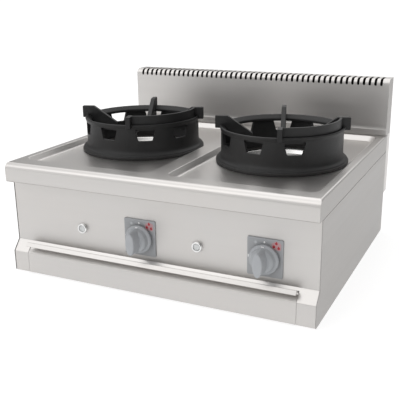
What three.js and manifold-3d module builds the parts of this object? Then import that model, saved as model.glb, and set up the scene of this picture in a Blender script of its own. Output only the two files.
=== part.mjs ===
// Two-burner countertop gas wok range, millimetres, +Z up, front faces -Y, right side +X.
// The shapes are laid out with y = 0 at the front of the worktop apron and z = 0 at the
// bottom edge of the casing, then moved so that the origin is the middle of the footprint.
import * as THREE from 'three';
import { mergeVertices, mergeGeometries } from 'three/addons/utils/BufferGeometryUtils.js';
import Module from 'manifold-3d';

const wasm = await Module();
wasm.setup();

// ---------------------------------------------------------------- driving dimensions
const WIDTH = 800;            // overall width, standard 800 mm module
const DEPTH = 714;            // apron front to the back of the flue duct (700 series)
const BODY_DEPTH = 677;       // apron front to the casing's rear panel
const TOP_Z = 286;            // worktop height above the casing's bottom edge
const FLUE_Z = 443;           // top of the flue upstand
const APRON = 48;             // height of the worktop's front and side aprons
const APRON_R = 18;           // rounding along the apron's front top edge
const SIDE_R = 5;             // rounding along the worktop's side edges
const SHEET = 1.5;            // casing sheet thickness
const TOP_SHEET = 2;          // worktop sheet thickness
const GAP = 0.3;              // joint gap between separate sheets
const PANEL_Y = 26.6;         // control panel's front plane
const SKIRT_Y = 4.3;          // lower front plane
const FLARE_TOP = 79.0;       // where the panel starts to flare forward
const FLARE_BOT = 52.7;       // where the flare meets the lower front plane
const PAD_H = 3;              // rubber pads below the casing

const BURNER_X = 200.5;       // burner centres, left and right of the middle
const BURNER_Y = 341;
const WELL_X0 = 21.5, WELL_X1 = 380;  // each recessed pan, across
const WELL_Y0 = 50.5, WELL_Y1 = 640;  // each recessed pan, front to back
const WELL_D = 14;            // depth of the pans
const WELL_S = 12;            // run of the pans' sloping walls
const WELL_HOLE = 118;        // radius of the burner hole in the pan

const RING_WALL = 152.6;      // wok ring: outer wall radius
const RING_BORE = 145.6;      // wok ring: inner wall radius
const RING_SEAT = 139;        // wok ring: radius of the sloping seat's inner lip
const RING_FLANGE = 166;      // wok ring: bottom flange radius
const RING_RIM = 89;          // rim height above the pan floor
const RING_BAND = 111;        // raised splash band's top above the pan floor
const RING_ARM_TOP = 111.5;     // support arms' top above the pan floor
const ARM_TURN = 17;          // arms stand this many degrees off the square
// middles of the windows round each ring's wall, in degrees from +X
const WINDOWS = { left: [-134, -95.5, -57.8, -20, 21, 67, 108, 149, 188], right: [-133.6, -97, -59.5, 67, 108, 149, 188] };

const KNOB_X = { left: -34.3, right: 276 };
const KNOB_Z = 134;
const IGN_X = { left: -195.7, right: 113.7 };
const IGN_Z = 135.2;
const TRAY_HALF = 355;        // half width of the drip tray's front
const TRAY_TRAVEL = 450;      // how far the drip tray pulls out

const KNOB_FRONT = -25.4;     // the knob grips are the foremost points
const MID_Y = (KNOB_FRONT + DEPTH) / 2;

// ---------------------------------------------------------------- finishes
const mat = (c, r, m) => new THREE.MeshStandardMaterial({ color: c, roughness: r, metalness: m });
const STEEL = mat(0xcfcbc7, 0.35, 0.9);
const STEEL_IN = mat(0xb9b7b3, 0.45, 0.9);
const BRIGHT = mat(0xe6e6e4, 0.15, 1.0);
const IRON = mat(0x2d2d2e, 0.75, 0.3);
const CAST = mat(0x3a3a3b, 0.7, 0.4);
const BRASS = mat(0xb89548, 0.35, 1.0);
const ALU = mat(0xc3c5c7, 0.4, 0.9);
const GREYPL = mat(0x97999b, 0.55, 0.0);
const DARKPL = mat(0x2a2b2d, 0.6, 0.0);
const CERAMIC = mat(0xefeee8, 0.4, 0.0);
const RUBBER = mat(0x222222, 0.9, 0.0);
const ZINC = mat(0xa9adb0, 0.4, 0.9);

// ---------------------------------------------------------------- shape helpers
const D2R = Math.PI / 180;

function meshOf(verts, tris) {
  // a closed mesh from vertices and triangles, turned facing out
  let v6 = 0;
  for (const [a, b, c] of tris) {
    const A = verts[a], B = verts[b], C = verts[c];
    v6 += A[0] * (B[1] * C[2] - B[2] * C[1]) - A[1] * (B[0] * C[2] - B[2] * C[0]) + A[2] * (B[0] * C[1] - B[1] * C[0]);
  }
  const g = new THREE.BufferGeometry();
  g.setAttribute('position', new THREE.Float32BufferAttribute(verts.flat(), 3));
  g.setIndex(tris.flatMap(([a, b, c]) => (v6 < 0 ? [a, c, b] : [a, b, c])));
  return g;
}

function prism(pts, w0, w1, map) {
  // a flat outline carried from w0 to w1; map turns (u, v, w) into x, y, z
  const n = pts.length, verts = [], tris = [];
  for (const w of [w0, w1]) for (const [u, v] of pts) verts.push(map(u, v, w));
  const caps = THREE.ShapeUtils.triangulateShape(pts.map(([u, v]) => new THREE.Vector2(u, v)), []);
  const ccw = !THREE.ShapeUtils.isClockWise(pts.map(([u, v]) => new THREE.Vector2(u, v)));
  for (const [a, b, c] of caps) { tris.push([a, c, b]); tris.push([a + n, b + n, c + n]); }
  for (let i = 0; i < n; i++) {
    const j = (i + 1) % n;
    if (ccw) tris.push([i, j, j + n], [i, j + n, i + n]);
    else tris.push([j, i, i + n], [j, i + n, j + n]);
  }
  return meshOf(verts, tris);
}
const alongX = (pts, x0, x1) => prism(pts, x0, x1, (u, v, w) => [w, u, v]);   // (y, z) outline
const alongY = (pts, y0, y1) => prism(pts, y0, y1, (u, v, w) => [u, w, v]);   // (x, z) outline
const alongZ = (pts, z0, z1) => prism(pts, z0, z1, (u, v, w) => [u, v, w]);   // (x, y) outline
const box = (x0, x1, y0, y1, z0, z1) => new THREE.BoxGeometry(x1 - x0, y1 - y0, z1 - z0)
  .translate((x0 + x1) / 2, (y0 + y1) / 2, (z0 + z1) / 2);

function revolve(profile, segs, closed = false) {
  // (r, z) profile turned about Z; starts and ends on the axis, or closes on itself
  const verts = [], ring = [], tris = [];
  profile.forEach(([r, z], i) => {
    if (r < 1e-6) { ring.push([verts.length]); verts.push([0, 0, z]); return; }
    const ids = [];
    for (let k = 0; k < segs; k++) {
      const a = 2 * Math.PI * k / segs;
      ids.push(verts.length); verts.push([r * Math.cos(a), r * Math.sin(a), z]);
    }
    ring.push(ids);
  });
  const last = closed ? profile.length : profile.length - 1;
  for (let i = 0; i < last; i++) {
    const A = ring[i], B = ring[(i + 1) % profile.length];
    for (let k = 0; k < segs; k++) {
      const k2 = (k + 1) % segs;
      if (A.length === 1 && B.length === 1) continue;
      if (A.length === 1) tris.push([A[0], B[k2], B[k]]);
      else if (B.length === 1) tris.push([A[k], A[k2], B[0]]);
      else { tris.push([A[k], A[k2], B[k2]]); tris.push([A[k], B[k2], B[k]]); }
    }
  }
  return meshOf(verts, tris);
}
function ribbon(path, t) {
  // a closed outline of even thickness t along an open (r, z) path
  const side = (d) => path.map((p, i) => {
    const a = path[Math.max(i - 1, 0)], b = path[Math.min(i + 1, path.length - 1)];
    const u = [p[0] - a[0], p[1] - a[1]], v = [b[0] - p[0], b[1] - p[1]];
    const lu = Math.hypot(...u) || 1, lv = Math.hypot(...v) || 1;
    const nu = i ? [u[1] / lu, -u[0] / lu] : [v[1] / lv, -v[0] / lv];
    const nv = i + 1 < path.length ? [v[1] / lv, -v[0] / lv] : nu;
    const m = [nu[0] + nv[0], nu[1] + nv[1]], q = 2 * d / (m[0] ** 2 + m[1] ** 2);
    return [p[0] + m[0] * q, p[1] + m[1] * q];
  });
  return [...side(t / 2), ...side(-t / 2).reverse()];
}
const rod = (r, z0, z1, segs = 24) => revolve([[0, z0], [r, z0], [r, z1], [0, z1]], segs);
const pipe = (r0, r1, z0, z1, segs = 24) => revolve([[r0, z0], [r1, z0], [r1, z1], [r0, z1]], segs, true);
const toY = (g) => g.rotateX(-Math.PI / 2);   // the local axis points to +Y
const toX = (g) => g.rotateY(Math.PI / 2);    // the local axis points to +X
const at = (g, x, y, z) => g.translate(x, y, z);

function loft(rings) {
  // convex rings of equal length joined one after another, with flat ends
  const n = rings[0].length, verts = rings.flat(), tris = [];
  for (let i = 0; i + 1 < rings.length; i++) for (let k = 0; k < n; k++) {
    const a = i * n + k, b = i * n + (k + 1) % n;
    tris.push([a, b, b + n], [a, b + n, a + n]);
  }
  for (let k = 1; k + 1 < n; k++) {
    tris.push([0, k + 1, k]);
    const o = (rings.length - 1) * n;
    tris.push([o, o + k, o + k + 1]);
  }
  return meshOf(verts, tris);
}

function roundRect(x0, x1, y0, y1, r, z, seg = 5) {
  const out = [];
  for (const [cx, cy, a0] of [[x1 - r, y1 - r, 0], [x0 + r, y1 - r, 90], [x0 + r, y0 + r, 180], [x1 - r, y0 + r, 270]]) {
    for (let i = 0; i <= seg; i++) {
      const a = (a0 + 90 * i / seg) * D2R;
      out.push([cx + r * Math.cos(a), cy + r * Math.sin(a), z]);
    }
  }
  return out;
}

function sweep(pts, r, n = 10, bend = 12, steps = 4) {
  // a round rod along a path of straight runs with rounded bends
  const P = pts.map((p) => new THREE.Vector3(...p)), path = [P[0]];
  for (let i = 1; i + 1 < P.length; i++) {
    const a = P[i - 1].clone().sub(P[i]), b = P[i + 1].clone().sub(P[i]);
    const d = Math.min(bend, a.length() * 0.45, b.length() * 0.45);
    const s = P[i].clone().add(a.setLength(d)), e = P[i].clone().add(b.setLength(d));
    for (let k = 0; k <= steps; k++) {
      const t = k / steps;
      path.push(s.clone().multiplyScalar((1 - t) ** 2).add(P[i].clone().multiplyScalar(2 * t * (1 - t))).add(e.clone().multiplyScalar(t * t)));
    }
  }
  path.push(P[P.length - 1]);
  const rings = [];
  let T = path[1].clone().sub(path[0]).normalize();
  let N = new THREE.Vector3(Math.abs(T.x) < 0.9 ? 1 : 0, Math.abs(T.x) < 0.9 ? 0 : 1, 0);
  N.sub(T.clone().multiplyScalar(N.dot(T))).normalize();
  path.forEach((p, i) => {
    const t0 = i ? p.clone().sub(path[i - 1]).normalize() : null;
    const t1 = i + 1 < path.length ? path[i + 1].clone().sub(p).normalize() : null;
    T = (t0 && t1) ? t0.clone().add(t1).normalize() : (t0 || t1);
    N.sub(T.clone().multiplyScalar(N.dot(T))).normalize();
    const B = T.clone().cross(N), ring = [];
    for (let k = 0; k < n; k++) {
      const a = 2 * Math.PI * k / n;
      const q = p.clone().add(N.clone().multiplyScalar(r * Math.cos(a))).add(B.clone().multiplyScalar(r * Math.sin(a)));
      ring.push([q.x, q.y, q.z]);
    }
    rings.push(ring);
  });
  return loft(rings);
}

function solid(g) {
  const c = g.clone();
  c.deleteAttribute('normal'); c.deleteAttribute('uv');
  const m = mergeVertices(c, 1e-4);
  return new wasm.Manifold(new wasm.Mesh({
    numProp: 3,
    vertProperties: new Float32Array(m.getAttribute('position').array),
    triVerts: new Uint32Array(m.getIndex().array),
  }));
}
function many(list) {
  // separate shapes that don't touch each other, as one cutter
  const clean = list.map((g) => { const c = g.clone(); c.deleteAttribute('normal'); c.deleteAttribute('uv'); return c; });
  return solid(mergeGeometries(clean));
}
const join = (...g) => g.reduce((a, b) => a.add(b));
function geo(man) {
  const m = man.getMesh(), g = new THREE.BufferGeometry();
  const n = m.numProp, v = m.vertProperties, pos = new Float32Array((v.length / n) * 3);
  for (let i = 0; i < v.length / n; i++) for (let k = 0; k < 3; k++) pos[i * 3 + k] = v[i * n + k];
  g.setAttribute('position', new THREE.BufferAttribute(pos, 3));
  g.setIndex(Array.from(m.triVerts));
  return g;
}

const group = new THREE.Group();
group.name = 'wok_range';
function put(name, g, material) {
  let s = g instanceof THREE.BufferGeometry ? g.clone() : geo(g);
  s.deleteAttribute('uv'); s.deleteAttribute('normal');
  s = mergeVertices(s, 1e-4).toNonIndexed();
  s.translate(0, -MID_Y, PAD_H);
  s.computeVertexNormals();
  const mesh = new THREE.Mesh(s, material);
  mesh.name = name;
  group.add(mesh);
}
const SIDES = [['left', -1], ['right', 1]];
const FLOOR_Z = TOP_Z - WELL_D;   // top of the pans' floors

// ---------------------------------------------------------------- worktop
// A pressed top with a front and two side aprons, two shallow pans and a burner hole in each.
function topShape(o) {
  // the top's block, drawn in by o on the outside faces
  const r = APRON_R - o, f = [], s = [], sr = Math.max(SIDE_R - o, 1);
  f.push([o, TOP_Z - APRON - (o ? 5 : 0)]);
  for (let i = 0; i <= 5; i++) { const a = (180 - 90 * i / 5) * D2R; f.push([o + r + r * Math.cos(a), TOP_Z - o - r + r * Math.sin(a)]); }
  f.push([BODY_DEPTH - 1.8 + (o ? 5 : 0), TOP_Z - o], [BODY_DEPTH - 1.8 + (o ? 5 : 0), TOP_Z - APRON - (o ? 5 : 0)]);
  const h = WIDTH / 2 - o, zb = TOP_Z - APRON - (o ? 5 : 0);
  s.push([-h, zb]);
  for (let i = 0; i <= 3; i++) { const a = (180 - 90 * i / 3) * D2R; s.push([-h + sr + sr * Math.cos(a), TOP_Z - o - sr + sr * Math.sin(a)]); }
  for (let i = 0; i <= 3; i++) { const a = (90 - 90 * i / 3) * D2R; s.push([h - sr + sr * Math.cos(a), TOP_Z - o - sr + sr * Math.sin(a)]); }
  s.push([h, zb]);
  return solid(alongX(f, -WIDTH / 2, WIDTH / 2)).intersect(solid(alongY(s, -2, BODY_DEPTH + 10)));
}
function well(sgn, o) {
  // the pan's hollow (o = 0) or its outside (o = sheet)
  const x = sgn > 0 ? [WELL_X0 - o, WELL_X1 + o] : [-WELL_X1 - o, -WELL_X0 + o];
  const y = [WELL_Y0 - o, WELL_Y1 + o], R = 24 + o;
  const R1 = (z, d, r) => roundRect(x[0] + d, x[1] - d, y[0] + d, y[1] - d, r, z - o, 4);
  const list = [R1(TOP_Z + (o ? 1 : 6), -3, R + 3), R1(TOP_Z, -2, R + 2), R1(TOP_Z - 1.6, 1, R - 1),
    R1(FLOOR_Z + 1.2, WELL_S - 1.6, R - 12), R1(FLOOR_Z, WELL_S + 1.4, R - 13)];
  return solid(loft(list));
}
let top = topShape(0).subtract(topShape(TOP_SHEET));
for (const [, s] of SIDES) top = top.add(well(s, TOP_SHEET));
for (const [, s] of SIDES) {
  top = top.subtract(well(s, 0));
  top = top.subtract(solid(at(rod(WELL_HOLE, FLOOR_Z - 10, FLOOR_Z + 5, 40), s * BURNER_X, BURNER_Y, 0)));
}
top = top.intersect(solid(box(-WIDTH / 2, WIDTH / 2, 0, BODY_DEPTH + 20, 100, TOP_Z)));
put('worktop', top, STEEL);

// ---------------------------------------------------------------- casing
const sideOutline = [[SKIRT_Y, 0], [BODY_DEPTH, 0], [BODY_DEPTH, TOP_Z - APRON - GAP], [PANEL_Y, TOP_Z - APRON - GAP], [PANEL_Y, FLARE_TOP], [SKIRT_Y, FLARE_BOT]];
put('side_panel_left', alongX(sideOutline, -WIDTH / 2, -WIDTH / 2 + SHEET), STEEL);
put('side_panel_right', alongX(sideOutline, WIDTH / 2 - SHEET, WIDTH / 2), STEEL);

const IN_X = WIDTH / 2 - SHEET - GAP;   // inside of the casing, half width
// control panel: a flat sheet with a flange folded back along its top and its bottom
let panel = solid(alongX([[PANEL_Y, FLARE_TOP + GAP], [PANEL_Y + 16, FLARE_TOP + GAP], [PANEL_Y + 16, FLARE_TOP + GAP + SHEET],
  [PANEL_Y + SHEET, FLARE_TOP + GAP + SHEET], [PANEL_Y + SHEET, TOP_Z - APRON - SHEET - 1], [PANEL_Y + 14, TOP_Z - APRON - SHEET - 1],
  [PANEL_Y + 14, TOP_Z - APRON - 1], [PANEL_Y, TOP_Z - APRON - 1]], -IN_X, IN_X));
for (const [n] of SIDES) {
  panel = panel.subtract(solid(at(toY(rod(8, 0, 20, 16)), KNOB_X[n], PANEL_Y - 5, KNOB_Z)));
  panel = panel.subtract(solid(at(toY(rod(10.3, 0, 20, 20)), IGN_X[n], PANEL_Y - 5, IGN_Z)));
}
put('control_panel', panel, STEEL);

// lower front: the forward flare across the whole width and a cheek at each end of the tray
let frame = solid(alongX([[PANEL_Y, FLARE_TOP], [SKIRT_Y, FLARE_BOT], [SKIRT_Y, 0.4], [SKIRT_Y + 14, 0.4], [SKIRT_Y + 14, 0.4 + SHEET],
  [SKIRT_Y + SHEET, 0.4 + SHEET], [SKIRT_Y + SHEET, FLARE_BOT - 0.6], [PANEL_Y + SHEET, FLARE_TOP - 0.8], [PANEL_Y + SHEET, FLARE_TOP]], -IN_X, IN_X));
frame = frame.subtract(solid(box(-TRAY_HALF - 1, TRAY_HALF + 1, -5, 22.6, -2, 73)));
put('front_frame', frame, STEEL);

let base = solid(box(-IN_X, IN_X, 22, BODY_DEPTH - SHEET - GAP, 0.4, 0.4 + SHEET));
for (const x of [-240, -120, 0, 120, 240]) base = base.subtract(solid(alongZ(roundRect(x - 37, x + 37, 440, 500, 12, 0, 2).map(([a, b]) => [a, b]), -3, 6)));
put('base_plate', base, STEEL_IN);

// rear panel with the gas inlet hole; the exhaust passes over its top edge into the duct
let rear = solid(box(-IN_X, IN_X, BODY_DEPTH - SHEET, BODY_DEPTH, 0.4, 160));
const INLET = { x: -330, z: 60 };
rear = rear.subtract(solid(at(toY(rod(13, 0, 20, 16)), INLET.x, BODY_DEPTH - 10, INLET.z)));
put('rear_panel', rear, STEEL);

// ---------------------------------------------------------------- flue
// front cover: plinth on the worktop, face, rounded slotted top and both ends
const FACE_Y = 656.5, PLINTH_Y = 650, FLUE_R = 15, SLOT_W = 7, SLOT_PITCH = 16.09, SLOTS = 48, SLOT_LOW = 424.5, SLOT_BACK = 703;
function flueOutline(o, tail) {
  const p = [[PLINTH_Y + 3.2 + o, TOP_Z + GAP - (o ? 5 : 0)], [PLINTH_Y + 3.2 + o, 289.8 + o], [PLINTH_Y + o, 289.8 + o], [PLINTH_Y + o, 303 - o * 0.4], [FACE_Y + o, 313.5 - o * 0.4]];
  const r = FLUE_R - o;
  for (let i = 0; i <= 3; i++) { const a = (180 - 90 * i / 3) * D2R; p.push([FACE_Y + o + r + r * Math.cos(a), FLUE_Z - o - r + r * Math.sin(a)]); }
  p.push([tail, FLUE_Z - o], [tail, TOP_Z + GAP - (o ? 5 : 0)]);
  return p;
}
const BACK_Y = DEPTH - SHEET;
let flue = solid(alongX(flueOutline(0, BACK_Y - GAP), -WIDTH / 2, WIDTH / 2))
  .subtract(solid(alongX(flueOutline(SHEET, BACK_Y + 20), -WIDTH / 2 + SHEET, WIDTH / 2 - SHEET)));
const cuts = [];
for (let i = 0; i < SLOTS; i++) {
  const x = (i - (SLOTS - 1) / 2) * SLOT_PITCH;
  cuts.push(box(x - SLOT_W / 2, x + SLOT_W / 2, FACE_Y - 6, SLOT_BACK, SLOT_LOW, FLUE_Z + 6));
}
flue = flue.subtract(many(cuts));
put('flue_cover', flue, STEEL);

// rear duct: back sheet, both ends and the closed bottom behind the casing
let duct = solid(box(-WIDTH / 2, WIDTH / 2, BODY_DEPTH + GAP, DEPTH, 114, FLUE_Z))
  .subtract(solid(box(-WIDTH / 2 + SHEET, WIDTH / 2 - SHEET, BODY_DEPTH - 10, BACK_Y, 114 + SHEET, FLUE_Z + 10)))
  .subtract(solid(box(-WIDTH, WIDTH, BODY_DEPTH - 30, BACK_Y, TOP_Z, FLUE_Z + 10)));
put('flue_back', duct, STEEL);

// ---------------------------------------------------------------- inner structure
const under = TOP_Z - TOP_SHEET;   // underside of the flat top
put('centre_brace', alongY([[-14, 232], [14, 232], [14, under - 0.3], [12.5, under - 0.3], [12.5, 233.5], [-12.5, 233.5], [-12.5, under - 0.3], [-14, under - 0.3]], 60, 640), STEEL_IN);
for (const [n, y] of [['front', 262], ['rear', 420]]) {
  put('burner_rail_' + n, alongX([[y - 11, 168], [y + 11, 168], [y + 11, 169.5], [y - 9.5, 169.5], [y - 9.5, 190], [y - 11, 190]], -IN_X, IN_X), STEEL_IN);
}
for (const [n, s] of SIDES) {
  // angle runner that the drip tray's bottom slides on
  const o = [[TRAY_HALF - 24, 4], [IN_X - 0.5, 4], [IN_X - 0.5, 52], [IN_X - 2, 52], [IN_X - 2, 5.5], [TRAY_HALF - 24, 5.5]].map(([x, z]) => [s * x, z]);
  put('tray_runner_' + n, alongY(o, 40, 640), STEEL_IN);
}
for (const [fy, y] of [['front', 60], ['rear', 620]]) for (const [n, s] of SIDES) {
  put(`foot_pad_${fy}_${n}`, at(revolve([[0, -PAD_H], [15, -PAD_H], [17, -PAD_H + 1], [17, 0.1], [0, 0.1]], 16), s * 360, y, 0), RUBBER);
}
// pan-head screws that hold the rear panel
for (const [zn, z] of [['upper', 98], ['lower', 20]]) for (const [n, s] of SIDES) {
  put(`rear_screw_${zn}_${n}`, at(toY(revolve([[0, 0.1], [3.9, 0.1], [3.9, 1.4], [2.6, 2.5], [0, 2.9]], 16)), s * 386, BODY_DEPTH, z), ZINC);
}

// ---------------------------------------------------------------- gas train
const MAN_Y = 98, MAN_Z = 134;
put('gas_manifold', join(
  solid(at(toX(pipe(8, 10.7, 0, 700, 16)), -345, MAN_Y, MAN_Z)),
), ZINC);
put('gas_inlet', (() => {
  // union at the rear, riser and elbow that feed the left end of the manifold
  let g = solid(sweep([[INLET.x - 38, MAN_Y, MAN_Z], [INLET.x - 38, 300, MAN_Z], [INLET.x - 38, 500, INLET.z], [INLET.x, 560, INLET.z], [INLET.x, 690, INLET.z]], 8, 10, 30, 3));
  g = g.add(solid(at(toY(pipe(5, 11.5, 0, 30, 14)), INLET.x, 676, INLET.z)));
  g = g.add(solid(at(toX(rod(8, 0, 20, 12)), INLET.x - 38, MAN_Y, MAN_Z)));
  g = g.subtract(solid(at(toY(rod(7, 0, 40, 12)), INLET.x, 682, INLET.z)));
  return g.subtract(solid(box(-345.4, -300, MAN_Y - 12, MAN_Y + 12, MAN_Z - 12, MAN_Z + 12)));
})(), ZINC);

for (const [n, s] of SIDES) {
  const kx = KNOB_X[n], bx = s * BURNER_X;
  // tap: brass body clamped on the manifold, bored at the front for the spindle
  let tap = solid(at(toY(revolve([[0, 0], [11, 0], [11, 12], [15, 14], [15, 36], [0, 36]], 14)), kx, 50, MAN_Z));
  tap = tap.add(solid(box(kx - 13, kx + 13, 84, 112, MAN_Z - 14, MAN_Z + 14)));
  tap = tap.add(solid(at(rod(7, 10, 27, 12), kx, 72, MAN_Z)));
  tap = tap.subtract(solid(at(toX(rod(10.9, -20, 20, 16)), kx, MAN_Y, MAN_Z)));
  tap = tap.subtract(solid(at(toY(rod(4.5, -1, 26, 16)), kx, 50, MAN_Z)));
  put('gas_tap_' + n, tap, BRASS);

  // supply tube from the tap to the jet
  put('supply_tube_' + n, sweep([[kx, 72, MAN_Z + 27.3], [kx, 72, 190], [bx, 60, 190], [bx, 60, 214], [bx, 93.7, 214]], 4.5, 8, 12, 2), ALU);
  // brass jet in front of the burner's mixing tube
  put('gas_jet_' + n, at(toY(revolve([[0, 0], [7, 0], [7, 9], [4.5, 11], [3, 17], [0, 17]], 6)), bx, 94, 214), BRASS);

  // burner: bowl-shaped body with a mixing tube running to the front
  let b = solid(at(revolve([[0, 190.6], [18, 190.6], [24, 196], [52, 204], [60, 216], [60, 244], [0, 244]], 24), bx, BURNER_Y, 0));
  b = b.add(solid(at(toY(revolve([[0, 0], [26, 0], [26, 5], [17, 26], [17, 220], [0, 220]], 14)), bx, 118, 214)));
  b = b.add(solid(box(bx - 9, bx + 9, BURNER_Y - 88, BURNER_Y + 88, 190.6, 200)));
  b = b.subtract(solid(at(revolve([[0, 205], [46, 211], [53, 219], [53, 250], [0, 250]], 24), bx, BURNER_Y, 0)));
  b = b.subtract(solid(at(toY(revolve([[0, -1], [22, -1], [22, 4], [12, 26], [12, 200], [0, 200]], 14)), bx, 118, 214)));
  put('burner_body_' + n, b, CAST);

  // burner head: stepped crown with radial port slots round two rings and an open middle
  let c = solid(at(revolve([[14, 244.3], [59, 244.3], [59, 250], [55, 258], [38, 260], [36, 266], [22, 268], [14, 264]], 28, true), bx, BURNER_Y, 0));
  const ports = [];
  for (let i = 0; i < 14; i++) {
    const a = i * 360 / 14 * D2R, g = box(47, 62, -1.4, 1.4, 252, 262);
    ports.push(g.rotateZ(a).translate(bx, BURNER_Y, 0));
  }
  put('burner_head_' + n, c.subtract(many(ports)), CAST);

  // spill bowl hanging in the pan's burner hole
  const bowl = [[126, FLOOR_Z + 0.9], [115.4, FLOOR_Z + 0.9], [112.6, FLOOR_Z - 2], [108, FLOOR_Z - 9], [88.6, 242.4], [86.9, 241.2], [85.6, 242.2], [85.4, 250]];
  put('spill_bowl_' + n, at(revolve(ribbon(bowl, 1.2), 32, true), bx, BURNER_Y, 0), BRIGHT);

  // pilot, flame sensor and spark electrode stand between the head and the bowl
  const spot = (deg, r) => [bx + r * Math.cos(deg * D2R), BURNER_Y + r * Math.sin(deg * D2R)];
  let [px, py] = spot(-130, 72);
  put('pilot_burner_' + n, solid(at(revolve([[0, 196], [4, 196], [4, 240], [6, 242], [6, 254], [3, 257], [0, 257]], 10), px, py, 0))
    .add(solid(sweep([[px, py, 202], [px, py, 193.8], [px, 108, 193.8], [kx + 4, 100, 160], [kx + 4, 100, MAN_Z + 14.4]], 2.2, 6, 14, 2))), ALU);
  [px, py] = spot(-152, 72);
  put('flame_sensor_' + n, solid(at(revolve([[0, 196], [3.4, 196], [3.4, 232], [2.4, 234], [2.4, 262], [0, 264]], 12), px, py, 0)), ZINC);
  [px, py] = spot(-50, 72);
  put('spark_electrode_' + n, at(revolve([[0, 198], [2, 198], [2, 204], [4.2, 206], [4.2, 246], [1.4, 248], [1.4, 262], [0, 262]], 12), px, py, 0), CERAMIC);
}

// ---------------------------------------------------------------- controls
for (const [n] of SIDES) {
  const kx = KNOB_X[n], ix = IGN_X[n];
  // grey scale plate behind the knob: 82 x 88 with small corner radii and a hole for the spindle
  const q = roundRect(kx - 41, kx + 41, 92, 180, 3, 0, 2).map(([a, b]) => [a, b]);
  put('knob_plate_' + n, solid(alongY(q, PANEL_Y - 3, PANEL_Y - 0.1)).subtract(solid(at(toY(rod(8, -10, 10, 16)), kx, PANEL_Y - 2, KNOB_Z))), GREYPL);

  // knob: round skirt, low dome and a tall blade grip, with a bore for the spindle
  const toFront = (g) => at(g.rotateX(Math.PI / 2), kx, PANEL_Y - 3, KNOB_Z);   // local +Z points out to the front
  let k = solid(toFront(revolve([[0, 4], [34, 4], [34, 9.5], [31.5, 12], [28.5, 14], [26, 23], [20, 28], [0, 29]], 28)));
  const blade = [];
  for (const [z, w, h] of [[10, 9.5, 31], [26, 8.2, 29.5], [44, 6.4, 26.5], [47.5, 5.4, 25.4], [49, 3.6, 23.4]]) {
    // outline: a lens, widest at its middle
    blade.push([[w, 0, z], [w * 0.86, h - 3, z], [w * 0.5, h, z], [-w * 0.5, h, z], [-w * 0.86, h - 3, z], [-w, 0, z], [-w * 0.86, -h + 3, z], [-w * 0.5, -h, z], [w * 0.5, -h, z], [w * 0.86, -h + 3, z]]);
  }
  k = k.add(solid(toFront(loft(blade))));
  k = k.subtract(solid(toFront(rod(4.2, -1, 19, 12))));
  k = k.subtract(solid(toFront(revolve([[9, 3], [29, 3], [29, 8], [9, 8]], 20, true))));
  put('knob_' + n, k, GREYPL);
  // spindle from inside the knob into the tap
  put('tap_spindle_' + n, at(toY(rod(4, 0, 56, 12)), kx, PANEL_Y - 3 - 18.6, KNOB_Z), BRASS);
  // collar behind the panel that follows the push but not the turn
  put('push_collar_' + n, at(toY(pipe(4.3, 9.5, 0, 5, 16)), kx, 36, KNOB_Z), ZINC);

  // spark button: bright collar through the panel, grey push cap and the sealed body behind
  put('igniter_collar_' + n, at(toY(revolve([[8.3, -3.2], [11.5, -3.2], [12.8, -1.8], [12.8, -0.1], [10, -0.1], [10, 16], [8.3, 16]], 20, true)), ix, PANEL_Y, IGN_Z), BRIGHT);
  put('igniter_button_' + n, at(toY(revolve([[0, -1.8], [6.6, -1.8], [8, -0.6], [8, 14], [0, 14]], 18)), ix, PANEL_Y, IGN_Z), GREYPL);
  put('igniter_body_' + n, at(toY(revolve([[0, 18.6], [13, 18.6], [13, 24], [11, 26], [11, 58], [0, 58]], 16)), ix, PANEL_Y, IGN_Z), DARKPL);
}

// ---------------------------------------------------------------- drip tray
// folded front: flat sheet that rolls back and forward again and turns down into a sloping full-width grip
const gripIn = [[SKIRT_Y, 1], [SKIRT_Y, 51.5], [5.2, 53.6], [14.5, 62.2], [17.3, 65.6], [17.6, 69.4], [15.4, 73.2], [11, 76.3]];
function offsetLine(p, d) {
  return p.map(([a, b], i) => {
    const q = p[Math.max(i - 1, 0)], r = p[Math.min(i + 1, p.length - 1)];
    const t = [r[0] - q[0], r[1] - q[1]], L = Math.hypot(...t);
    return [a + d * t[1] / L, b - d * t[0] / L];
  });
}
const gripBack = offsetLine(gripIn, SHEET);
const frontOutline = [...gripIn, [5.7, 79.3], [-0.3, 71.3], [-1.5, 72.2], [4.2, 80.0], [4.8, 80.8], [5.6, 81.1], [6.4, 80.7], ...gripBack.reverse()];
put('tray_front', solid(alongX(frontOutline, -TRAY_HALF, TRAY_HALF)), STEEL);

// the tray itself: an open pan with a narrow rim folded inwards along both sides and the back
const trayY0 = SKIRT_Y + SHEET + 0.3, trayY1 = 600, TX = TRAY_HALF - 2, T = 1.2;
let tray = solid(box(-TX, TX, trayY0, trayY1, 5.9, 44))
  .subtract(solid(box(-TX + T, TX - T, trayY0 + T, trayY1 - T, 5.9 + T, 44 - T)))
  .subtract(solid(box(-TX + 8, TX - 8, trayY0 + T, trayY1 - 8, 40, 50)));
put('drip_tray', tray, BRIGHT);

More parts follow.
